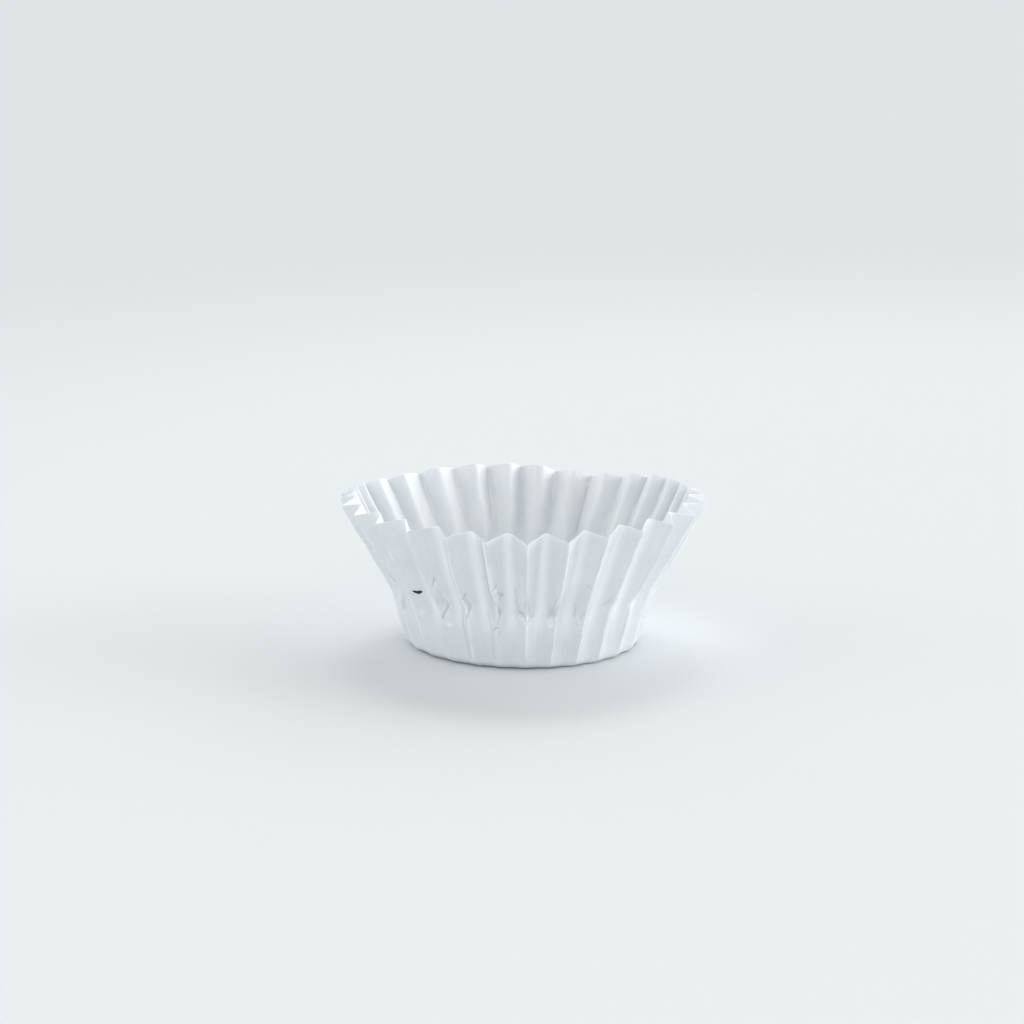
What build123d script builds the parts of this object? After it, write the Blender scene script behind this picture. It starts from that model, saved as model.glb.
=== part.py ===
from build123d import *

import os
from math import cos, pi, radians, sin

# Cupcake liner: one disc of paper pressed into a pleated cup with a flat round base.
#
# The cup stands on z = 0 with its axis on +Z. Azimuths run counter-clockwise, seen from above,
# from the front of the cup, which faces -Y.

# Driving dimensions, in millimetres and degrees
PAPER = 0.1  # thickness of the sheet
PLEATS = 30
BASE_RADIUS = 25.4  # the bend between the flat base and the wall
WALL_LENGTH = 34.9  # paper from that bend to the cut edge

FOOT_DEPTH = 0.9  # depth of a pleat where the wall leaves the base
WAIST_HEIGHT = 12.5  # the pressed lower band ends here and the wall flares out
WAIST_RADIUS = 28.5  # mean of the inward and outward folds
WAIST_DEPTH = 2.3
RIM_HEIGHT = 32.0  # mean height of the cut edge
RIM_RADIUS = 39.5  # mean of the folds there
RIM_DEPTH = 4.6
TRIM_HEIGHT = 36.0  # the pleats are drawn up to here, then cut

FIRST_FOLD = -4.5  # azimuth of the first inward fold
# Each wave is its number of cycles round the cup, its size and the azimuth of its crest.
# Sizes are in degrees along the rim for the spacing of the pleats and for the lean of each
# outward fold off the middle of its pleat, and in millimetres out for the rim out of round.
SPACING_WAVES = ((1, 3.7, 90), (2, 1.9, 66), (3, 2.2, -12), (4, 1.6, -25), (5, 1.0, 31))
LEAN_WAVES = ((1, 2.6, 103), (2, 1.4, -52), (3, 0.5, -35), (4, 1.2, 6))
OVAL_WAVES = ((1, 1.6, 180), (2, 1.4, 4), (3, 0.5, 1))
WAIST_OVAL = 0.2  # share of the rim's out-of-round at the waist; the base is a true circle


def wave_sum(waves, azimuth):
    """The sum of a few cosine waves round the cup, at one azimuth."""
    return sum(size * cos(radians(cycles * (azimuth - crest))) for cycles, size, crest in waves)


def inward_fold(index):
    """Azimuth of an inward fold: even steps, pushed along the rim by the spacing waves."""
    even = FIRST_FOLD + index * 360 / PLEATS
    return even + wave_sum(SPACING_WAVES, even)


def outward_fold(index):
    """Azimuth of the outward fold between two inward ones: halfway, plus a small lean."""
    middle = (inward_fold(index) + inward_fold(index + 1)) / 2
    return middle + wave_sum(LEAN_WAVES, middle)


def rise(height, foot, waist, rim):
    """A size that runs straight from foot to waist and straight on from waist through rim."""
    if height < WAIST_HEIGHT:
        return foot + (waist - foot) * height / WAIST_HEIGHT
    return waist + (rim - waist) * (height - WAIST_HEIGHT) / (RIM_HEIGHT - WAIST_HEIGHT)


def fold_point(azimuth, height, side):
    """A corner of the pleated outline: side is -1 on an inward fold and +1 on an outward one."""
    radius = rise(height, BASE_RADIUS, WAIST_RADIUS, RIM_RADIUS)
    depth = rise(height, FOOT_DEPTH, WAIST_DEPTH, RIM_DEPTH)
    spread = rise(height, 0, WAIST_OVAL, 1)
    reach = radius + side * depth / 2 + spread * wave_sum(OVAL_WAVES, azimuth)
    return reach * sin(radians(azimuth)), -reach * cos(radians(azimuth))


def pleated_outline(height):
    """Corners of the zigzag outline at one height, inward and outward folds in turn."""
    corners = []
    for index in range(PLEATS):
        corners.append(fold_point(inward_fold(index), height, -1))
        corners.append(fold_point(outward_fold(index), height, 1))
    return corners


os.makedirs("parts", exist_ok=True)

with BuildPart() as liner:
    # the outside of the cup, straight between the foot, the waist and above the rim
    for height in (0, WAIST_HEIGHT, TRIM_HEIGHT):
        with BuildSketch(Plane.XY.offset(height)):
            with BuildLine():
                Polyline(*pleated_outline(height), close=True)
            make_face()
    loft(ruled=True)

    # the inside, one thickness of paper in from every panel and up from the base
    for height in (PAPER, WAIST_HEIGHT, TRIM_HEIGHT):
        with BuildSketch(Plane.XY.offset(height)):
            with BuildLine():
                Polyline(*pleated_outline(height), close=True)
            make_face()
            offset(amount=-PAPER, kind=Kind.INTERSECTION)
    loft(ruled=True, mode=Mode.SUBTRACT)

    # the cut edge: every point of it is one wall length from the bend, as on the flat disc,
    # so the outward folds, which lean out further, end lower than the inward ones
    with BuildSketch(Plane.XZ):
        with BuildLine():
            Line((0, 0), (BASE_RADIUS + WALL_LENGTH, 0))
            CenterArc((BASE_RADIUS, 0), WALL_LENGTH, 0, 90)
            Line((BASE_RADIUS, WALL_LENGTH), (0, WALL_LENGTH))
            Line((0, WALL_LENGTH), (0, 0))
        make_face()
    revolve(axis=Axis.Z, mode=Mode.INTERSECT)

liner.part.label = "liner"
export_step(liner.part, "parts/liner.step")

flat_radius = BASE_RADIUS + WALL_LENGTH
print(f"flat disc {2 * flat_radius:.1f} mm across, {pi * flat_radius**2:.0f} mm2")
print(f"solid {liner.part.volume:.0f} mm3 = {liner.part.volume / PAPER:.0f} mm2 of sheet")
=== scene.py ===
"""Cupcake liner in white baking paper: the pleated cup, its finish, and a plain pale table.

Lengths are in metres unless a name says otherwise. The cup stands on z = 0 with its axis on +Z.
Azimuths are in degrees, counter-clockwise from above, from the front of the cup, which faces -Y.
"""

import math

import bpy
import numpy as np
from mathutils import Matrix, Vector


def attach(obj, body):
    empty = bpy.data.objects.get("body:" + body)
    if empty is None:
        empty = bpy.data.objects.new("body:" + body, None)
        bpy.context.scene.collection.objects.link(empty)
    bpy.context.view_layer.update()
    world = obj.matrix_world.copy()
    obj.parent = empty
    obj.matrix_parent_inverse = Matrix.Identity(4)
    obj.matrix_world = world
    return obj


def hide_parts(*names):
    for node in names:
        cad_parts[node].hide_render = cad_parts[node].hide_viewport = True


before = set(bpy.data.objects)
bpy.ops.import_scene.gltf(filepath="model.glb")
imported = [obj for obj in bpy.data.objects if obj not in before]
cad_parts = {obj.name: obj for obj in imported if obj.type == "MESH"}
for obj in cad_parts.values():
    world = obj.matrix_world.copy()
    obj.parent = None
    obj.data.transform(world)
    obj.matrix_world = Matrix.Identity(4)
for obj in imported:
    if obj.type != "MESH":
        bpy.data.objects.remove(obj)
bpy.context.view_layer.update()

MM = 0.001

# ------------------------------------------------------------------ the sheet and its folds
PAPER = 0.1 * MM  # thickness of the sheet
PLEATS = 30
BASE_RADIUS = 25.4 * MM  # the bend between the flat base and the wall
WALL_LENGTH = 34.9 * MM  # paper from that bend to the cut edge
FOOT_DEPTH = 0.9 * MM  # depth of a pleat where the wall leaves the base
WAIST_HEIGHT = 12.5 * MM  # the pressed lower band ends here and the wall flares out
WAIST_RADIUS = 28.5 * MM
WAIST_DEPTH = 2.3 * MM
RIM_HEIGHT = 32.0 * MM
RIM_RADIUS = 39.5 * MM
RIM_DEPTH = 4.6 * MM
TRIM_HEIGHT = 36.0 * MM  # the pleats are drawn up to here, then cut

FIRST_FOLD = -4.5
# Each wave is its number of cycles round the cup, its size and the azimuth of its crest
SPACING_WAVES = ((1, 3.7, 90), (2, 1.9, 66), (3, 2.2, -12), (4, 1.6, -25), (5, 1.0, 31))
LEAN_WAVES = ((1, 2.6, 103), (2, 1.4, -52), (3, 0.5, -35), (4, 1.2, 6))
OVAL_WAVES = ((1, 1.6 * MM, 180), (2, 1.4 * MM, 4), (3, 0.5 * MM, 1))
WAIST_OVAL = WAIST_HEIGHT / RIM_HEIGHT / 2  # share of the rim's out-of-round at the waist

# What pressing and handling did to the folds, as the same kind of wave
TWIST_WAVES = ((1, 0.20 * MM, 30), (2, 0.20 * MM, 30), (3, 0.15 * MM, 35))  # ridges, sideways
FOOT_LIFT = 0.5 * MM  # how far the front left of the base's edge stands off the table
LIFT_SIDE = -38  # azimuth of that lift
# Places where the cut edge sags: azimuth, half width in degrees, drop
RIM_SAGS = ((156, 15, 1.6 * MM), (230, 14, 0.6 * MM), (62, 12, 0.5 * MM), (300, 10, 0.4 * MM))

# How far a fold's rounding reaches into the panels beside it: at the foot, waist and top
INWARD_ROUND = (0.9 * MM, 0.9 * MM, 0.6 * MM)
OUTWARD_ROUND = (0.6 * MM, 0.3 * MM, 0.22 * MM)
BACK_ROUNDER = 1.4  # the folds at the back are rounder by this much of their reach
BEND_ROUND = 1.8 * MM  # the same for the bend between base and wall
WAIST_ROUND = 2.0 * MM  # and for the flare at the waist
WAIST_LENGTH = 13.1 * MM  # paper from the bend to the waist
BASE_MARGIN = 3.0 * MM  # the pleats die out this far into the base

# Where the sheet is sampled: shares of a panel, from its inward fold to its outward one
PANEL_STEPS = np.array((0, 0.05, 0.11, 0.19, 0.30, 0.42, 0.54, 0.65, 0.75, 0.835, 0.905, 0.955))


def waves(table, azimuth):
    """The sum of size times the cosine of cycles times the angle from the crest."""
    return sum(size * np.cos(np.radians(cycles * (azimuth - crest))) for cycles, size, crest in table)


def fold_azimuths():
    """Even steps pushed along by the spacing waves; outward folds sit halfway, plus the lean."""
    even = FIRST_FOLD + np.arange(PLEATS + 1) * 360 / PLEATS
    inward = even + waves(SPACING_WAVES, even)
    middle = (inward[:-1] + inward[1:]) / 2
    return np.stack((inward[:-1], middle + waves(LEAN_WAVES, middle)), 1).ravel()


def corner_ring(height, radius, depth, spread):
    """Zigzag corners at one height: the mean radius, less or plus half the pleat's depth."""
    azimuth = fold_azimuths()
    reach = radius + np.tile((-0.5, 0.5), PLEATS) * depth + spread * waves(OVAL_WAVES, azimuth)
    angle = np.radians(azimuth)
    return np.stack((reach * np.sin(angle), -reach * np.cos(angle), 0 * reach + height), 1)


def ease(reach, distance):
    """A quarter of the reach times the square of the share of it still to go. Added along the
    change of direction at a corner, it turns the corner into a quadratic curve."""
    return 0.25 * reach * np.clip(1 - np.abs(distance) / reach, 0, 1) ** 2


def backness(azimuth):
    """Nothing at the front of the cup and one at its back: half of one less the cosine."""
    return 0.5 - 0.5 * np.cos(np.radians(azimuth))


def rounded_ring(corners, inward_round, outward_round):
    """The zigzag, sampled at the panel steps and eased at both ends of every panel. The folds
    grow rounder from the front of the cup to its back, by half of one less the cosine."""
    after = np.roll(corners, -1, 0) - corners
    length = np.linalg.norm(after, axis=1)[:, None, None]
    ahead = (after / length[:, 0])[:, None]
    turn = ahead - np.roll(ahead, 1, 0)
    reach = np.tile((inward_round, outward_round), PLEATS)
    reach = (reach * (1 + BACK_ROUNDER * backness(fold_azimuths())))[:, None, None]
    back_steps = np.append(0, 1 - PANEL_STEPS[:0:-1])
    steps = np.tile(np.stack((PANEL_STEPS, back_steps)), (PLEATS, 1))[..., None]
    ring = corners[:, None] + ahead * length * steps
    ring += ease(reach, length * steps) * turn
    ring += ease(np.roll(reach, -1, 0), length * (1 - steps)) * np.roll(turn, -1, 0)
    return ring.reshape(-1, 3)


def wall_grid(rows):
    """The sheet as a grid, columns round the cup by rows up it. A row is its paper distance from
    the bend, negative in the base. Every column runs straight from base to foot to waist to
    the cut edge, eased at the foot and the waist. The cut edge lies one wall length from the
    bend circle, measured straight: it is where the column meets a ring of that radius round
    the circle, which is the larger root of a quadratic."""
    foot = rounded_ring(
        corner_ring(0, BASE_RADIUS, FOOT_DEPTH, 0),
        INWARD_ROUND[0],
        OUTWARD_ROUND[0],
    )
    waist = rounded_ring(
        corner_ring(WAIST_HEIGHT, WAIST_RADIUS, WAIST_DEPTH, WAIST_OVAL),
        INWARD_ROUND[1],
        OUTWARD_ROUND[1],
    )
    past = (TRIM_HEIGHT - WAIST_HEIGHT) / (RIM_HEIGHT - WAIST_HEIGHT)
    top = rounded_ring(
        corner_ring(
            TRIM_HEIGHT,
            WAIST_RADIUS + past * (RIM_RADIUS - WAIST_RADIUS),
            WAIST_DEPTH + past * (RIM_DEPTH - WAIST_DEPTH),
            WAIST_OVAL + past * (1 - WAIST_OVAL),
        ),
        INWARD_ROUND[2],
        OUTWARD_ROUND[2],
    )
    waist_radius = np.hypot(waist[:, 0], waist[:, 1])
    out = np.hypot(top[:, 0], top[:, 1]) - waist_radius
    up = top[:, 2] - waist[:, 2]
    start = waist_radius - BASE_RADIUS
    # the share of the way from waist to top that is one wall length from the bend circle
    half_b = start * out + waist[:, 2] * up
    a = out**2 + up**2
    c = start**2 + waist[:, 2] ** 2 - WALL_LENGTH**2
    share = (-half_b + np.sqrt(half_b**2 - a * c)) / a
    rim = waist + share[:, None] * (top - waist)

    circle = foot / np.hypot(foot[:, 0], foot[:, 1])[:, None] * (BASE_RADIUS - BASE_MARGIN)
    base_slope = (foot - circle) / BASE_MARGIN
    band_slope = (waist - foot) / WAIST_LENGTH
    wall_slope = (rim - waist) / (WALL_LENGTH - WAIST_LENGTH)
    s = rows[:, None, None]
    grid = foot + base_slope * np.minimum(s, 0)
    grid = grid + band_slope * np.clip(s, 0, WAIST_LENGTH) + wall_slope * np.maximum(s - WAIST_LENGTH, 0)
    grid += ease(BEND_ROUND, s) * (band_slope - base_slope)
    grid += ease(WAIST_ROUND, s - WAIST_LENGTH) * (wall_slope - band_slope)
    return grid


def row_distances():
    """Paper distances from the bend: close together at the bend, through the waist, where the
    dents are, and at the cut edge."""
    return np.concatenate((
        np.array((-3.0, -1.8, -1.3, -0.9, -0.5, 0)),
        np.array((0.4, 0.9, 1.4)),
        np.linspace(2.2, 8.2, 6),
        np.linspace(8.7, 23.7, 35),
        np.linspace(24.8, 33.6, 8),
        np.array((34.5, 34.8, 34.9)),
    )) * MM


def hump(value, middle, reach):
    """A smooth hump: half of one plus the cosine, one at the middle and nothing past its reach."""
    return 0.5 + 0.5 * np.cos(np.pi * np.clip((value - middle) / reach, -1, 1))


def sideways(azimuth):
    """Unit directions round the cup, towards growing azimuth."""
    angle = np.radians(azimuth)
    return np.stack((np.cos(angle), np.sin(angle), 0 * angle), -1)


def handled(grid, rows):
    """The wall after pressing and handling. The ridges are carried sideways by the twist
    waves, which fade to nothing at the bend, at the cut edge and on the inward folds; the cut edge
    sags where it is listed; and part of the base's edge is lifted off the table."""
    azimuth = np.degrees(np.arctan2(grid[..., 0], -grid[..., 1]))
    climb = (rows / WALL_LENGTH)[:, None]
    ridge = np.tile(np.concatenate((PANEL_STEPS, 1 - PANEL_STEPS)), PLEATS)
    grip = np.clip(2 * climb * (1 - climb**4), 0, 1)
    push = waves(TWIST_WAVES, azimuth) * grip * ridge
    grid = grid + sideways(azimuth) * push[..., None]
    for middle, reach, drop in RIM_SAGS:
        away = (azimuth - middle + 180) % 360 - 180
        grid[..., 2] -= drop * hump(away, 0, 2 * reach) * np.clip(climb, 0, 1) ** 2
    side = np.clip(np.cos(np.radians(azimuth - LIFT_SIDE)), 0, 1) ** 2
    grid[..., 2] += FOOT_LIFT * side * hump(rows[:, None], 0, 3 * MM)
    return grid


# Softer unevenness of the sheet: how far the folds and the middles of the panels wander
FOLD_WANDER = 0.16 * MM
PANEL_BOW = 0.16 * MM
WANDER_TURNS = (1, 2, 3, 5)  # half cycles from the bend to the cut edge
SETTLE = 6 * MM  # the unevenness and the ridges grow from nothing to full over this much wall


def wander(rng, rows, count, size):
    """One slow random wave up the wall for each of count lines: a sum of cosines with random
    heights, falling off as the cosines shorten, and random starts, settled at the bend."""
    climb = (rows / WALL_LENGTH)[:, None]
    total = np.zeros((len(rows), count))
    for turns in WANDER_TURNS:
        start = rng.uniform(0, 2 * np.pi, count)
        total += rng.normal(0, size / turns**0.5, count) * np.cos(np.pi * turns * climb + start)
    return total * np.clip(rows[:, None] / SETTLE, 0, 1)


def unevenness(rows):
    """How far out each point wanders: the wander of the two folds beside it, shared out by its
    place across the panel, plus the panel's own bow, a parabola across it."""
    rng = np.random.default_rng(3)
    folds = wander(rng, rows, 2 * PLEATS, FOLD_WANDER)[..., None]
    bows = wander(rng, rows, 2 * PLEATS, PANEL_BOW)[..., None]
    back_steps = np.append(0, 1 - PANEL_STEPS[:0:-1])
    steps = np.tile(np.stack((PANEL_STEPS, back_steps)), (PLEATS, 1))
    offset = folds * (1 - steps) + np.roll(folds, -1, 1) * steps + bows * 4 * steps * (1 - steps)
    return offset.reshape(len(rows), -1)


PINCH = 0.13 * MM  # how far the sheet is drawn in beside each outward fold
PINCH_REACH = 0.9 * MM  # how far from the fold that is deepest
BEAD = 0.17 * MM  # how far the fold itself stands out as a narrow ridge
BEAD_REACH = 0.5 * MM
RIDGE_WANDER = 0.35  # spread of their strength
BACK_SOFTER = 0.75  # both are this much weaker at the back of the cup


def ridges(across, rows):
    """How far out the sheet is pushed at the outward folds, where pressing left them standing as
    narrow ridges between drawn-in strips: a bead that falls evenly to nothing over its reach,
    less a pinch of t times e to the power 1 - t, with t the distance over the pinch's reach.
    Both start above the bend, are softer at the back, and their strength wanders from fold to
    fold and up the wall."""
    rng = np.random.default_rng(11)
    strength = 1 + wander(rng, rows, PLEATS, RIDGE_WANDER)
    strength = np.clip(strength, 0.1, 2) * (1 - BACK_SOFTER * backness(fold_azimuths()[1::2]))
    strength = np.repeat(strength, 2 * len(PANEL_STEPS), axis=1)
    start = np.clip(rows / SETTLE, 0, 1)[:, None]
    t = np.abs(across) / PINCH_REACH
    bead = BEAD * np.maximum(1 - np.abs(across) / BEAD_REACH, 0)
    return strength * start * (bead - PINCH * t * np.exp(1 - t))


# Dents in the outward folds round the waist: outward fold, place across it, place up the wall,
# half width, length above, length below and depth, in millimetres; a negative depth stands out.
# The front folds are listed; the others are drawn at random.
LISTED_DENTS = (
    (25, 0.3, 15.0, 1.3, 4.0, 3.0, 0.9),
    (25, 0.0, 20.5, 1.0, 3.0, 2.0, 0.6),
    (26, 0.9, 12.0, 1.1, 3.0, 2.0, 0.6),
    (27, 1.4, 14.2, 1.6, 6.5, 2.8, 1.3),
    (27, 1.3, 21.5, 0.8, 1.6, 1.6, 0.5),
    (27, 1.7, 9.6, 1.1, 1.3, 1.3, -0.45),
    (28, 0.5, 15.4, 1.2, 4.0, 4.0, 1.3),
    (29, 0.9, 18.6, 1.3, 2.6, 1.3, 1.3),
    (29, 0.3, 13.4, 1.0, 3.6, 2.6, 1.1),
    (29, -0.6, 9.6, 0.9, 0.8, 0.8, 0.4),
    (0, -0.2, 12.9, 2.0, 9.0, 1.2, 1.5),
    (1, -0.8, 12.6, 1.6, 6.0, 1.3, 1.2),
    (1, -0.9, 10.3, 0.8, 1.0, 1.0, -0.4),
    (2, -0.9, 20.6, 1.0, 1.0, 1.0, 0.5),
    (2, -1.2, 12.4, 1.4, 5.0, 2.0, 1.0),
    (2, 0.3, 10.4, 1.0, 2.0, 1.0, 0.5),
    (3, -0.8, 14.4, 1.2, 4.0, 2.2, 0.8),
    (4, 0.0, 13.4, 1.1, 3.0, 2.0, 0.6),
)
OTHER_FOLDS = range(5, 25)  # those with drawn dents
OUTLINE_FOLDS = (5, 6, 7, 8, 21, 22, 23, 24)  # at the sides, where the outline stays straight
OUTLINE_SHARE = 0.35  # how deep their dents are beside the rest


def all_dents():
    """The listed dents, and one or two drawn for every other fold, shallower at the sides."""
    rng = np.random.default_rng(7)
    dents = list(LISTED_DENTS)
    for fold in OTHER_FOLDS:
        for _ in range(rng.integers(1, 3)):
            place = (rng.normal(0, 0.6), rng.uniform(11.5, 18))
            size = (rng.uniform(1.1, 2.0), rng.uniform(3, 7), rng.uniform(2, 3.5))
            share = OUTLINE_SHARE if fold in OUTLINE_FOLDS else 1
            dents.append((fold, *place, *size, share * rng.uniform(0.3, 0.8)))
    return dents


def dent_depth(across, rows):
    """How far in each point of the grid is pushed. A dent is a four-sided pyramid: its depth
    falls evenly to nothing along the paper, both across the fold and up and down it, so its
    four sides meet in straight creases."""
    depth = np.zeros_like(across)
    width = 2 * len(PANEL_STEPS)
    for fold, middle, height, half, above, below, deep in all_dents():
        cols = slice(fold * width, (fold + 1) * width)
        aside = np.abs(across[:, cols] - middle * MM) / (half * MM)
        climb = rows[:, None] - height * MM
        upright = np.where(climb > 0, climb / (above * MM), -climb / (below * MM))
        depth[:, cols] += deep * MM * np.maximum(1 - aside - upright, 0)
    return depth


def distance_from_ridge(grid):
    """Signed distance of every point from the outward fold of its own pleat."""
    count = len(PANEL_STEPS)
    ridge = np.repeat(grid[:, count :: 2 * count], 2 * count, axis=1)
    side = np.tile(np.repeat((-1, 1), count), PLEATS)
    return side * np.linalg.norm(grid - ridge, axis=2)


# The painted light along an inward fold reaches this far
HOLLOW_REACH = 2.1 * MM  # how far the paler strip along an inward fold reaches


def hollow(grid):
    """How near each point is to the nearer of its pleat's two inward folds: a smooth hump, one on
    the fold."""
    width = 2 * len(PANEL_STEPS)
    folds = grid[:, ::width]
    first = np.repeat(folds, width, axis=1)
    last = np.repeat(np.roll(folds, -1, 1), width, axis=1)
    gap = np.minimum(np.linalg.norm(grid - first, axis=2), np.linalg.norm(grid - last, axis=2))
    return hump(gap, 0, HOLLOW_REACH)


def outward(grid, rows):
    """Unit directions square to the wall as if it had no pleats: the way round the cup crossed
    with the way up the wall."""
    climb = np.gradient(grid, rows, axis=0)
    round_cup = np.stack((-grid[..., 1], grid[..., 0], 0 * grid[..., 0]), -1)
    normal = np.cross(round_cup, climb)
    return normal / np.linalg.norm(normal, axis=2, keepdims=True)


CREASE_SPAN = 0.5 * MM  # a slope that changes by one over this much wall is a full crease
CREASE_STEP = 0.25 * MM  # and so is a depth whose steps to the two columns beside it add to this


def creased(depth, rows):
    """How sharply the sheet is bent by its dents, from 0 to 1: the change of slope of their depth
    up the wall and across it, scaled and cut off at one."""
    slope_up = np.gradient(depth, rows, axis=0)
    bend = np.abs(np.gradient(slope_up, rows, axis=0)) * CREASE_SPAN
    bend += np.abs(np.roll(depth, 1, 1) + np.roll(depth, -1, 1) - 2 * depth) / CREASE_STEP
    return np.clip(bend, 0, 1)


def corners(values):
    """Values at the four corners of every quad of the grid, quads by four."""
    nxt = np.roll(values, -1, 1)
    return np.stack((values[:-1], nxt[:-1], nxt[1:], values[1:]), 2).reshape(-1, 4, *values.shape[2:])


PLEAT_PITCH = 20  # millimetres from pleat to pleat in the pleat map, wider than any pleat


def pleat_map(across, rows):
    """Where each quad corner lies along the pleats, in millimetres: the pitch for every pleat plus
    the distance from its outward fold, and the distance up the wall. The corners that close a
    pleat belong to it, not to the next one."""
    width = 2 * len(PANEL_STEPS)
    start = np.repeat(np.arange(PLEATS) * PLEAT_PITCH, width)
    here = start + across / MM
    beyond = np.roll(-across, -1, 1) / MM + start
    nxt = np.roll(here, -1, 1)
    nxt[:, width - 1 :: width] = beyond[:, width - 1 :: width]
    u = np.stack((here[:-1], nxt[:-1], nxt[1:], here[1:]), 2).reshape(-1, 4)
    height = np.broadcast_to(rows[:, None] / MM, across.shape)
    return np.stack((u, corners(height)), -1)


def sheet_map(rows, count):
    """Where each quad corner lies on the flat disc, in millimetres: its paper distance from the
    middle, at its column's share of a full turn."""
    turn = 2 * np.pi * np.arange(count) / count
    radius = (BASE_RADIUS + rows[:, None]) / MM
    return corners(np.stack((radius * np.sin(turn), -radius * np.cos(turn)), -1))


BASE_RINGS = np.array((0.02, 0.3, 0.6))  # radii in the base, as shares of its flat middle


def make_cup():
    """The whole sheet: a fan and three rings for the base, then the wall's grid, with the
    unevenness, the pinched folds and the dents set along the wall's own outward directions."""
    wall_rows = row_distances()
    wall = handled(wall_grid(wall_rows), wall_rows)
    wall_across = distance_from_ridge(wall)
    dents = dent_depth(wall_across, wall_rows)
    push = unevenness(wall_rows) + ridges(wall_across, wall_rows) - dents
    wall = wall + outward(wall, wall_rows) * push[..., None]
    rows = np.concatenate((BASE_RINGS * (BASE_RADIUS - BASE_MARGIN) - BASE_RADIUS, wall_rows))
    grid = np.concatenate((wall[:1] * BASE_RINGS[:, None, None], wall))
    across = np.concatenate((wall_across[:1] * BASE_RINGS[:, None], wall_across))
    plain = 0 * across[: len(BASE_RINGS)]
    # Masks for the finish: how sharply the dents bend the sheet, where it is whitened with painted
    # glints, and nearness to the inward folds, where light is painted
    masks = {
        "creased": np.concatenate((plain, creased(dents, wall_rows))),
        "hollow": np.concatenate((plain, hollow(wall))),
    }

    count = grid.shape[1]
    around = np.arange(count)
    low = 1 + np.arange(len(rows) - 1)[:, None] * count + around
    nxt = 1 + np.arange(len(rows) - 1)[:, None] * count + (around + 1) % count
    quads = np.stack((low, nxt, nxt + count, low + count), -1).reshape(-1, 4)
    fan = np.stack((0 * around, 1 + (around + 1) % count, 1 + around), -1)
    mesh = bpy.data.meshes.new("paper_cup")
    verts = np.concatenate((np.zeros((1, 3)), grid.reshape(-1, 3)))
    mesh.from_pydata(verts.tolist(), [], fan.tolist() + quads.tolist())
    mesh.polygons.foreach_set("use_smooth", np.ones(len(mesh.polygons), bool))
    for name, places in (("pleats", pleat_map(across, rows)), ("sheet", sheet_map(rows, count))):
        layer = mesh.uv_layers.new(name=name)
        flat = np.concatenate((np.zeros((fan.size, 2)), places.reshape(-1, 2)))
        layer.data.foreach_set("uv", flat.ravel())
    for name, mask in masks.items():
        attribute = mesh.attributes.new(name, "FLOAT", "POINT")
        attribute.data.foreach_set("value", np.append(0, mask.ravel()))
    mesh.update()
    cup = bpy.data.objects.new("paper_cup", mesh)
    bpy.context.scene.collection.objects.link(cup)
    return cup


cup = make_cup()
solid = cup.modifiers.new("paper thickness", "SOLIDIFY")
solid.thickness = PAPER
solid.offset = -1  # the grid is the outer face


# ------------------------------------------------------------------ the paper's finish
class Nodes:
    """Short ways to add nodes to the tree of a material, a group or the world."""

    def __init__(self, tree):
        self.tree = tree

    def add(self, kind, **settings):
        node = self.tree.nodes.new("ShaderNode" + kind)
        for name, value in settings.items():
            setattr(node, name, value)
        return node

    def vector(self, operation, first, second):
        node = self.add("VectorMath", operation=operation)
        self.plug(first, node.inputs[0])
        self.plug(second, node.inputs[1])
        return node.outputs["Vector"]

    def dot(self, first, second):
        node = self.add("VectorMath", operation="DOT_PRODUCT")
        self.plug(first, node.inputs[0])
        self.plug(second, node.inputs[1])
        return node.outputs["Value"]

    def scale(self, value, factor):
        node = self.add("VectorMath", operation="SCALE")
        self.plug(value, node.inputs[0])
        self.plug(factor, node.inputs["Scale"])
        return node.outputs["Vector"]

    def plug(self, value, socket):
        if isinstance(value, bpy.types.NodeSocket):
            self.tree.links.new(value, socket)
        else:
            socket.default_value = value

    def maths(self, operation, *values):
        node = self.add("Math", operation=operation)
        for value, socket in zip(values, node.inputs):
            self.plug(value, socket)
        return node.outputs[0]

    def ramp(self, value, low, high, bottom=0.0, top=1.0):
        node = self.add("MapRange", interpolation_type="SMOOTHSTEP")
        for source, socket in zip((value, low, high, bottom, top), node.inputs):
            self.plug(source, socket)
        return node.outputs[0]

    def mix(self, share, first, second):
        node = self.add("Mix", data_type="RGBA")
        self.plug(share, node.inputs[0])
        self.plug(first, node.inputs[6])
        self.plug(second, node.inputs[7])
        return node.outputs[2]

    def noise(self, place, scale, detail=2.0, roughness=0.5):
        node = self.add("TexNoise")
        self.plug(place, node.inputs["Vector"])
        node.inputs["Scale"].default_value = scale
        node.inputs["Detail"].default_value = detail
        node.inputs["Roughness"].default_value = roughness
        return node.outputs["Fac"]

    def stretch(self, place, scale):
        node = self.add("Mapping")
        self.plug(place, node.inputs["Vector"])
        node.inputs["Scale"].default_value = scale
        return node.outputs[0]


PAPER_WHITE = (0.725, 0.755, 0.776, 1)
MOTTLE_WHITE = (0.695, 0.73, 0.756, 1)
# The white of the whitened marks, also used for the painted highlights, glints and light
WHITENED_AND_LIT_WHITE = (0.89, 0.925, 0.945, 1)
# The grey of the painted shade towards the foot
FOOT_SHADE_GREY = (0.64, 0.675, 0.70, 1)
# The grey of the painted shade in the dark creases
CREASE_SHADE_GREY = (0.40, 0.44, 0.475, 1)
SPECK_BLACK = (0.006, 0.006, 0.007, 1)

# Noise on the flat sheet: cycles per millimetre, detail and roughness
MOTTLE = (0.22, 3.0, 0.6)
FIBRE = (2.4, 4.0, 0.65)
ROUGHNESS = (0.36, 0.5)  # of the surface, at the two ends of the mottle

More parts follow.
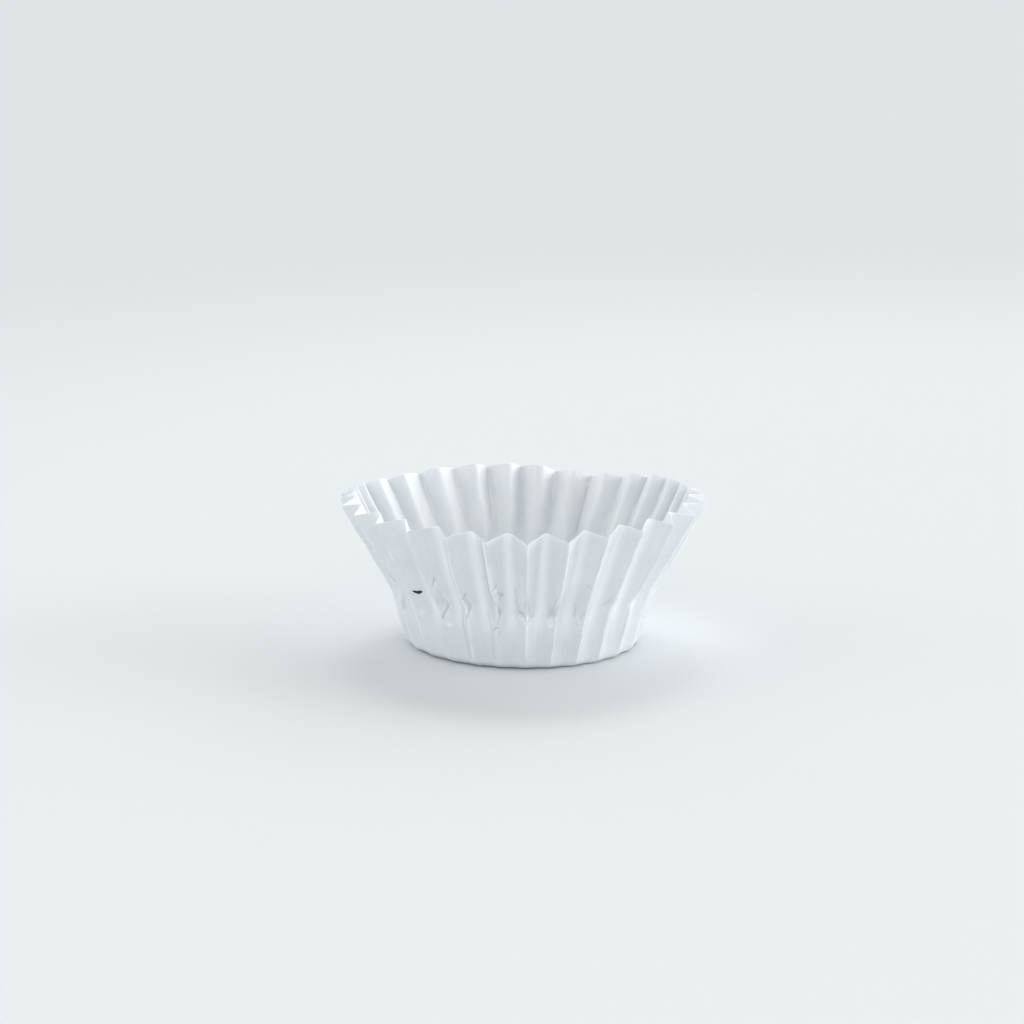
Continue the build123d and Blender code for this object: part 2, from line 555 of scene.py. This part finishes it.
# Rubbed fold crests, whitened and with a painted highlight along them: the distances in
# millimetres where they start to show and show in full, how rubbed they are at least and at
# most, and how the noise that breaks them up is stretched across, up and out of the pleat map
FOLD_EDGE = (0.34, 0.10)
FOLD_RUBBED = (0.1, 0.75)
FOLD_PATCHES = (0.37, 0.12, 1)
PRESS_STRETCH = (1.1, 0.05, 1)  # the same stretch for the press lines
PRESS_WIDTH = 0.022  # how far from its middle that noise may be

# Millimetres up the wall where each mark starts to show and shows in full
FOLD_START = (0.5, 4.0)
PRESS_START = (1.0, 5.0)
HOLLOW_START = (4.0, 16.0)
FOOT_SHADE_START = (15.0, 2.0)

# How far each mark turns the paper to its tone. Part of that is painted: highlights on the fold
# crests, glints on the dent creases, light along the inward folds, shade towards the foot and in
# the dark creases.
FOLD_WHITENING_AND_HIGHLIGHT = 0.9
DENT_WHITENING_AND_GLINT = 0.2
PRESS_WHITENING = 0.18
HOLLOW_INSIDE = 0.1
HOLLOW_OUTSIDE = 0.8
MOTTLING = 0.8
FOOT_SHADING = 0.6
CREASE_SHADING = 0.55

# How high or deep each mark is, in shares of the bump's own height
FIBRE_HEIGHT = 0.35
PRESS_DEPTH = 0.5
DARK_DEPTH = 4.0
WHITE_HEIGHT = 3.0
BUMP_STRENGTH = 0.35
BUMP_HEIGHT = 0.05 * MM

# Light that goes into the paper and comes out again: its share and its reach
GLOW_SHARE = 0.15
GLOW_REACH = 0.12 * MM

# Dark specks in the paper: outward fold, distance across and up, half length, half height, sag
SPECKS = ((26, 2.1, 16.6, 1.1, 0.43, 0.3),)

# Sharp creases the handling left: outward fold, then distance across and up the wall of one end
# and of the other, half width and strength. Dark ones are pressed in and carry painted shade;
# white ones stand out and carry painted highlights.
# They are listed round the cup, the folds from 25 on before fold 0.
SHADED_CREASES = (
    (13, 0.0, 31.5, 0.0, 19.0, 0.55, 0.6),
    (25, 1.6, 14.4, 0.4, 10.8, 0.90, 0.6),
    (25, -0.4, 20.4, 1.2, 17.8, 1.10, 0.6),
    (27, 2.3, 15.0, 0.4, 11.4, 0.40, 1.0),
    (27, 1.7, 22.4, 0.7, 19.9, 0.30, 0.8),
    (28, 0.1, 18.0, 1.2, 19.4, 0.32, 0.9),
    (28, 1.3, 16.4, -0.6, 11.2, 0.32, 0.9),
    (28, -4.0, 31.0, -3.3, 20.0, 0.50, 0.6),
    (28, -3.3, 20.0, -2.3, 14.4, 0.50, 0.7),
    (28, -2.3, 14.4, -2.9, 10.2, 0.50, 0.7),
    (28, -2.9, 10.2, -2.1, 6.6, 0.55, 0.65),
    (28, -2.1, 6.6, -1.3, 2.6, 0.70, 0.65),
    (29, 0.9, 22.4, 0.0, 21.4, 0.35, 0.8),
    (29, 2.1, 19.4, 1.2, 17.7, 0.55, 0.7),
    (29, 0.7, 14.2, 0.0, 11.4, 0.30, 0.7),
    (29, -1.3, 9.4, -0.1, 10.5, 0.28, 1.0),
    (29, -0.8, 19.0, 0.2, 16.6, 0.30, 0.7),
    (29, -1.8, 34.5, -2.1, 27.5, 0.55, 0.7),
    (29, -2.1, 27.5, -1.3, 20.5, 0.50, 0.8),
    (29, -1.3, 20.5, -0.7, 18.3, 0.40, 0.8),
    (29, -2.9, 13.6, -1.9, 9.4, 0.60, 0.4),
    (29, -1.9, 9.4, -1.4, 3.0, 0.90, 0.35),
    (0, -3.2, 20.5, -2.1, 15.4, 0.45, 0.5),
    (0, -2.1, 15.4, -0.1, 12.2, 0.38, 1.0),
    (0, 1.7, 13.7, 0.1, 11.8, 0.26, 0.9),
    (1, -0.8, 17.9, -0.7, 14.4, 0.30, 0.3),
    (1, -0.7, 14.4, 0.0, 11.4, 0.32, 0.55),
    (1, -2.3, 16.4, -0.4, 11.8, 0.45, 0.3),
    (1, 1.2, 31.0, 0.9, 18.0, 0.20, 0.45),
    (2, -2.6, 15.6, -1.1, 10.6, 0.40, 0.5),
    (2, 1.3, 24.0, 0.9, 12.0, 0.22, 0.45),
    (2, -0.3, 11.2, 0.1, 9.8, 0.22, 0.6),
    (2, -1.5, 21.4, -0.4, 20.3, 0.30, 0.5),
    (2, 2.5, 27.0, -0.6, 11.5, 0.25, 0.4),
    (3, -0.1, 11.1, 0.3, 11.0, 0.22, 1.0),
)
# The white creases: strips that stand out, with painted highlights on them
HIGHLIT_CREASES = (
    (27, 1.4, 9.9, 2.1, 9.6, 0.55, 0.6),
    (28, -0.3, 17.6, 0.2, 13.4, 0.32, 0.9),
    (28, -2.0, 34.0, -1.4, 24.0, 1.20, 0.7),
    (28, -1.4, 24.0, -0.3, 18.3, 0.85, 0.8),
    (29, 0.5, 21.0, 0.5, 18.4, 0.60, 0.9),
    (29, 0.5, 18.4, -0.2, 11.6, 0.30, 0.7),
    (29, -1.0, 34.0, -1.0, 27.0, 0.80, 0.8),
    (29, -1.0, 27.0, -0.4, 20.5, 0.65, 0.9),
    (0, -0.5, 14.6, 0.2, 12.2, 0.26, 1.0),
    (0, 0.0, 11.6, 0.0, 4.0, 0.22, 0.7),
    (0, 0.0, 33.8, -0.1, 14.8, 0.26, 0.9),
    (1, -1.3, 10.9, -0.6, 10.7, 0.45, 0.7),
    (1, 1.0, 33.5, -0.3, 16.8, 0.35, 0.8),
    (2, 3.0, 28.0, 0.0, 11.0, 0.30, 0.7),
)


def crease_group():
    """One crease between two ends A and B: one on the line and nothing past its half width. The
    nearest point of the line is A plus the share of AB that the place projects to, held
    between nought and one."""
    group = bpy.data.node_groups.new("crease_line", "ShaderNodeTree")
    face = group.interface
    for name in ("Place", "End A", "End B"):
        face.new_socket(name=name, in_out="INPUT", socket_type="NodeSocketVector")
    for name in ("Half width", "Strength"):
        face.new_socket(name=name, in_out="INPUT", socket_type="NodeSocketFloat")
    face.new_socket(name="Mask", in_out="OUTPUT", socket_type="NodeSocketFloat")
    nodes = Nodes(group)
    place, end_a, end_b, half_width, strength = group.nodes.new("NodeGroupInput").outputs[:5]
    along = nodes.vector("SUBTRACT", end_b, end_a)
    from_a = nodes.vector("SUBTRACT", place, end_a)
    share = nodes.maths("DIVIDE", nodes.dot(from_a, along), nodes.dot(along, along))
    held = nodes.maths("MINIMUM", nodes.maths("MAXIMUM", share, 0.0), 1.0)
    gap = nodes.vector("SUBTRACT", from_a, nodes.scale(along, held))
    far = nodes.maths("SQRT", nodes.dot(gap, gap))
    mask = nodes.maths("MULTIPLY", nodes.ramp(far, half_width, 0.0), strength)
    nodes.plug(mask, group.nodes.new("NodeGroupOutput").inputs[0])
    return group


def crease_mask(nodes, place, table, group):
    """The strongest of the creases in a table."""
    total = 0.0
    for fold, x_a, up_a, x_b, up_b, half_width, strength in table:
        line = nodes.add("Group", node_tree=group)
        end_a = (fold * PLEAT_PITCH + x_a, up_a, 0)
        end_b = (fold * PLEAT_PITCH + x_b, up_b, 0)
        for value, socket in zip((place, end_a, end_b, half_width, strength), line.inputs):
            nodes.plug(value, socket)
        total = nodes.maths("MAXIMUM", total, line.outputs[0])
    return total


def speck_mask(nodes, across, height):
    """One inside a speck and nothing outside: an ellipse whose middle line is bent into a
    shallow V, its height rising with the distance from its middle."""
    total = 0.0
    for fold, aside, up_wall, half_length, half_height, sag in SPECKS:
        x = nodes.maths("ABSOLUTE", nodes.maths("SUBTRACT", across, fold * PLEAT_PITCH + aside))
        y = nodes.maths("SUBTRACT", height, up_wall)
        y = nodes.maths("ABSOLUTE", nodes.maths("SUBTRACT", y, nodes.maths("MULTIPLY", x, sag)))
        x = nodes.maths("POWER", nodes.maths("DIVIDE", x, half_length), 2.0)
        y = nodes.maths("POWER", nodes.maths("DIVIDE", y, half_height), 2.0)
        spot = nodes.ramp(nodes.maths("ADD", x, y), 1.25, 0.75)
        total = nodes.maths("MAXIMUM", total, spot)
    return total


def rubbed_and_lit_fold_mask(nodes, pleats, across, height):
    """The rubbed crests of the outward folds, whitened and with a painted highlight along them. The
    distance from the fold is the remainder of the pleat map over one pitch, folded about the fold;
    slow noise breaks the line up."""
    centred = nodes.maths("ADD", across, PLEAT_PITCH / 2)
    wrapped = nodes.maths("FLOORED_MODULO", centred, PLEAT_PITCH)
    aside = nodes.maths("ABSOLUTE", nodes.maths("SUBTRACT", wrapped, PLEAT_PITCH / 2))
    broken = nodes.ramp(nodes.noise(nodes.stretch(pleats, FOLD_PATCHES), 1.0), 0.42, 0.62)
    rubbed = nodes.ramp(broken, 0, 1, *FOLD_RUBBED)
    line = nodes.maths("MULTIPLY", nodes.ramp(aside, *FOLD_EDGE), rubbed)
    return nodes.maths("MULTIPLY", line, nodes.ramp(height, *FOLD_START))


def press_mask(nodes, pleats, height):
    """Fine upright lines from the press: where noise drawn out up the wall is near its middle."""
    drawn_out = nodes.noise(nodes.stretch(pleats, PRESS_STRETCH), 1.0, 3.0, 0.6)
    off_middle = nodes.maths("ABSOLUTE", nodes.maths("SUBTRACT", drawn_out, 0.5))
    line = nodes.ramp(off_middle, PRESS_WIDTH, 0.0)
    return nodes.maths("MULTIPLY", line, nodes.ramp(height, *PRESS_START))


def painted_hollow_light_mask(nodes, height):
    """Painted light along the inward folds, strong outside the cup and faint inside it. Outside,
    the surface faces the way it lies from the cup's middle, so the two have a positive dot
    product."""
    strip = nodes.add("Attribute", attribute_name="hollow").outputs["Fac"]
    strip = nodes.maths("MULTIPLY", strip, nodes.ramp(height, *HOLLOW_START))
    place = nodes.add("TexCoord")
    facing = nodes.dot(place.outputs["Normal"], place.outputs["Object"])
    strength = nodes.ramp(facing, -2 * MM, 2 * MM, HOLLOW_INSIDE, HOLLOW_OUTSIDE)
    return nodes.maths("MULTIPLY", strip, strength)


def baking_paper():
    """White baking paper: a faint mottle and fibre grain laid out on the flat sheet, fine upright
    press lines, whitened fold crests and dent creases with painted highlights on them, painted
    light along the inward folds, dark creases with painted shade, white creases with painted
    highlights and a speck laid out along the pleats, and painted shade greying the wall towards
    the foot."""
    paper = bpy.data.materials.new("white_baking_paper")
    paper.use_nodes = True
    nodes = Nodes(paper.node_tree)
    shader = paper.node_tree.nodes["Principled BSDF"]
    sheet = nodes.add("UVMap", uv_map="sheet").outputs[0]
    pleats = nodes.add("UVMap", uv_map="pleats").outputs[0]
    split = nodes.add("SeparateXYZ")
    nodes.plug(pleats, split.inputs[0])
    across, height = split.outputs[0], split.outputs[1]
    dented = nodes.add("Attribute", attribute_name="creased").outputs["Fac"]
    press_line = press_mask(nodes, pleats, height)
    crease = crease_group()
    # Dark creases carry painted shade and white creases painted highlights; both also shape the bump
    crease_shade = crease_mask(nodes, pleats, SHADED_CREASES, crease)
    crease_highlight = crease_mask(nodes, pleats, HIGHLIT_CREASES, crease)
    mottle = nodes.noise(sheet, *MOTTLE)
    fibre = nodes.noise(sheet, *FIBRE)

    # The paler marks. Only the press lines are plain whitening; the rest is partly or wholly painted
    # light: highlights on the fold crests, glints on the dent creases, light along the inward folds and
    # highlights on the white creases
    light = nodes.maths("MULTIPLY", rubbed_and_lit_fold_mask(nodes, pleats, across, height), FOLD_WHITENING_AND_HIGHLIGHT)
    light = nodes.maths("MAXIMUM", light, nodes.maths("MULTIPLY", dented, DENT_WHITENING_AND_GLINT))
    light = nodes.maths("MAXIMUM", light, nodes.maths("MULTIPLY", press_line, PRESS_WHITENING))
    light = nodes.maths("MAXIMUM", light, painted_hollow_light_mask(nodes, height))
    light = nodes.maths("MAXIMUM", light, crease_highlight)

    white = nodes.mix(nodes.ramp(mottle, 0.38, 0.62, 0.0, MOTTLING), PAPER_WHITE, MOTTLE_WHITE)
    # Painted shade: the wall greys towards the foot
    white = nodes.mix(nodes.ramp(height, *FOOT_SHADE_START, 0.0, FOOT_SHADING), white, FOOT_SHADE_GREY)
    white = nodes.mix(light, white, WHITENED_AND_LIT_WHITE)
    # Painted shade in the dark creases
    white = nodes.mix(nodes.maths("MULTIPLY", crease_shade, CREASE_SHADING), white, CREASE_SHADE_GREY)
    white = nodes.mix(speck_mask(nodes, across, height), white, SPECK_BLACK)
    nodes.plug(white, shader.inputs["Base Color"])
    nodes.plug(nodes.ramp(mottle, 0.3, 0.7, *ROUGHNESS), shader.inputs["Roughness"])

    relief = nodes.maths("MULTIPLY", fibre, FIBRE_HEIGHT)
    relief = nodes.maths("SUBTRACT", relief, nodes.maths("MULTIPLY", press_line, PRESS_DEPTH))
    relief = nodes.maths("SUBTRACT", relief, nodes.maths("MULTIPLY", crease_shade, DARK_DEPTH))
    relief = nodes.maths("ADD", relief, nodes.maths("MULTIPLY", crease_highlight, WHITE_HEIGHT))
    bump = nodes.add("Bump")
    bump.inputs["Strength"].default_value = BUMP_STRENGTH
    bump.inputs["Distance"].default_value = BUMP_HEIGHT
    nodes.plug(relief, bump.inputs["Height"])
    nodes.plug(bump.outputs[0], shader.inputs["Normal"])
    shader.inputs["Subsurface Weight"].default_value = GLOW_SHARE
    shader.inputs["Subsurface Radius"].default_value = (1, 1, 1)
    shader.inputs["Subsurface Scale"].default_value = GLOW_REACH
    return paper


paper = baking_paper()
cup.data.materials.append(paper)
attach(cup, "root")
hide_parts("liner")

# ------------------------------------------------------------------ table, light and camera
TABLE_GREY = (0.675, 0.703, 0.722, 1)
bpy.ops.mesh.primitive_plane_add(size=30)
table = bpy.context.object
table.name = "table"
pale = bpy.data.materials.new("pale_table")
pale.use_nodes = True
table_shader = pale.node_tree.nodes["Principled BSDF"]
table_shader.inputs["Base Color"].default_value = TABLE_GREY
table_shader.inputs["Roughness"].default_value = 0.9
table_shader.inputs["Specular IOR Level"].default_value = 0.0
table.data.materials.append(pale)

scene = bpy.context.scene
scene.view_settings.view_transform = "Standard"
# The room's own light is strongest at the horizon and falls evenly with the height of the
# direction it comes from; past the end of the table the camera sees a tone like the lit table's.
HORIZON_LIGHT = 1.52
OVERHEAD_LIGHT = 0.0
BACKDROP = (0.80, 0.832, 0.856, 1)
world = bpy.data.worlds.new("soft_room")
world.use_nodes = True
room = Nodes(world.node_tree)
lit = world.node_tree.nodes["Background"]
direction = room.add("SeparateXYZ")
room.plug(room.add("TexCoord").outputs["Generated"], direction.inputs[0])
steep = room.maths("ABSOLUTE", direction.outputs[2])
fall = room.maths("MULTIPLY", steep, OVERHEAD_LIGHT - HORIZON_LIGHT)
room.plug(room.maths("ADD", fall, HORIZON_LIGHT), lit.inputs["Strength"])
lit.inputs["Color"].default_value = (1, 1, 1, 1)
seen = room.add("Background")
seen.inputs["Color"].default_value = BACKDROP
pick = room.add("MixShader")
room.plug(room.add("LightPath").outputs["Is Camera Ray"], pick.inputs[0])
room.plug(lit.outputs[0], pick.inputs[1])
room.plug(seen.outputs[0], pick.inputs[2])
room.plug(pick.outputs[0], world.node_tree.nodes["World Output"].inputs["Surface"])
scene.world = world

# Large soft windows and screens: name, direction it shines from, width in degrees, strength
LIGHTS = (
    ("window_behind_right", (0.6, 0.6, 0.5), 60, 1.0),
    ("window_behind", (0.0, 0.85, 0.5), 60, 0.60),
    ("screen_right", (0.85, 0.0, 0.15), 40, 1.44),
    ("screen_front", (0.0, -0.7, 0.6), 50, 0.52),
    ("screen_left", (-0.85, 0.0, 0.5), 60, 0.65),
    ("window_above", (0.0, 0.6, 0.8), 70, 0.15),
)
for name, source, spread, strength in LIGHTS:
    light_data = bpy.data.lights.new(name, "SUN")
    light_data.energy = strength
    light_data.angle = math.radians(spread)
    light = bpy.data.objects.new(name, light_data)
    light.rotation_euler = Vector(source).to_track_quat("Z", "Y").to_euler()
    scene.collection.objects.link(light)

# One soft pool of light on the table, its middle to the right of the cup
POOL_MIDDLE = Vector((0.15, 0.0, 0.0))
POOL_SOURCE = Vector((0.0, 0.72, 0.96))  # the lamp's place from that middle
POOL_POWER = 64
POOL_ANGLE = 26  # full width of its cone, in degrees
POOL_SOFTNESS = 0.5  # radius of the lamp
pool_data = bpy.data.lights.new("pool", "SPOT")
pool_data.energy = POOL_POWER
pool_data.spot_size = math.radians(POOL_ANGLE)
pool_data.spot_blend = 1.0
pool_data.shadow_soft_size = POOL_SOFTNESS
pool = bpy.data.objects.new("pool", pool_data)
pool.location = POOL_MIDDLE + POOL_SOURCE
pool.rotation_euler = POOL_SOURCE.to_track_quat("Z", "Y").to_euler()
scene.collection.objects.link(pool)

# The camera stands in front of the cup, a little above it, and looks down at its middle
VIEW_DISTANCE = 0.57
VIEW_RISE = 12.44  # degrees it looks down by
LENS = 91.6  # millimetres, on a sensor 36 wide
TARGET = (-0.0024, 0, 0.02876)
camera_data = bpy.data.cameras.new("camera")
camera_data.lens = LENS
camera_data.sensor_width = 36
camera = bpy.data.objects.new("camera", camera_data)
rise = math.radians(VIEW_RISE)
camera.location = (
    TARGET[0],
    TARGET[1] - VIEW_DISTANCE * math.cos(rise),
    TARGET[2] + VIEW_DISTANCE * math.sin(rise),
)
camera.rotation_euler = (math.pi / 2 - rise, 0, 0)
scene.collection.objects.link(camera)
scene.camera = camera
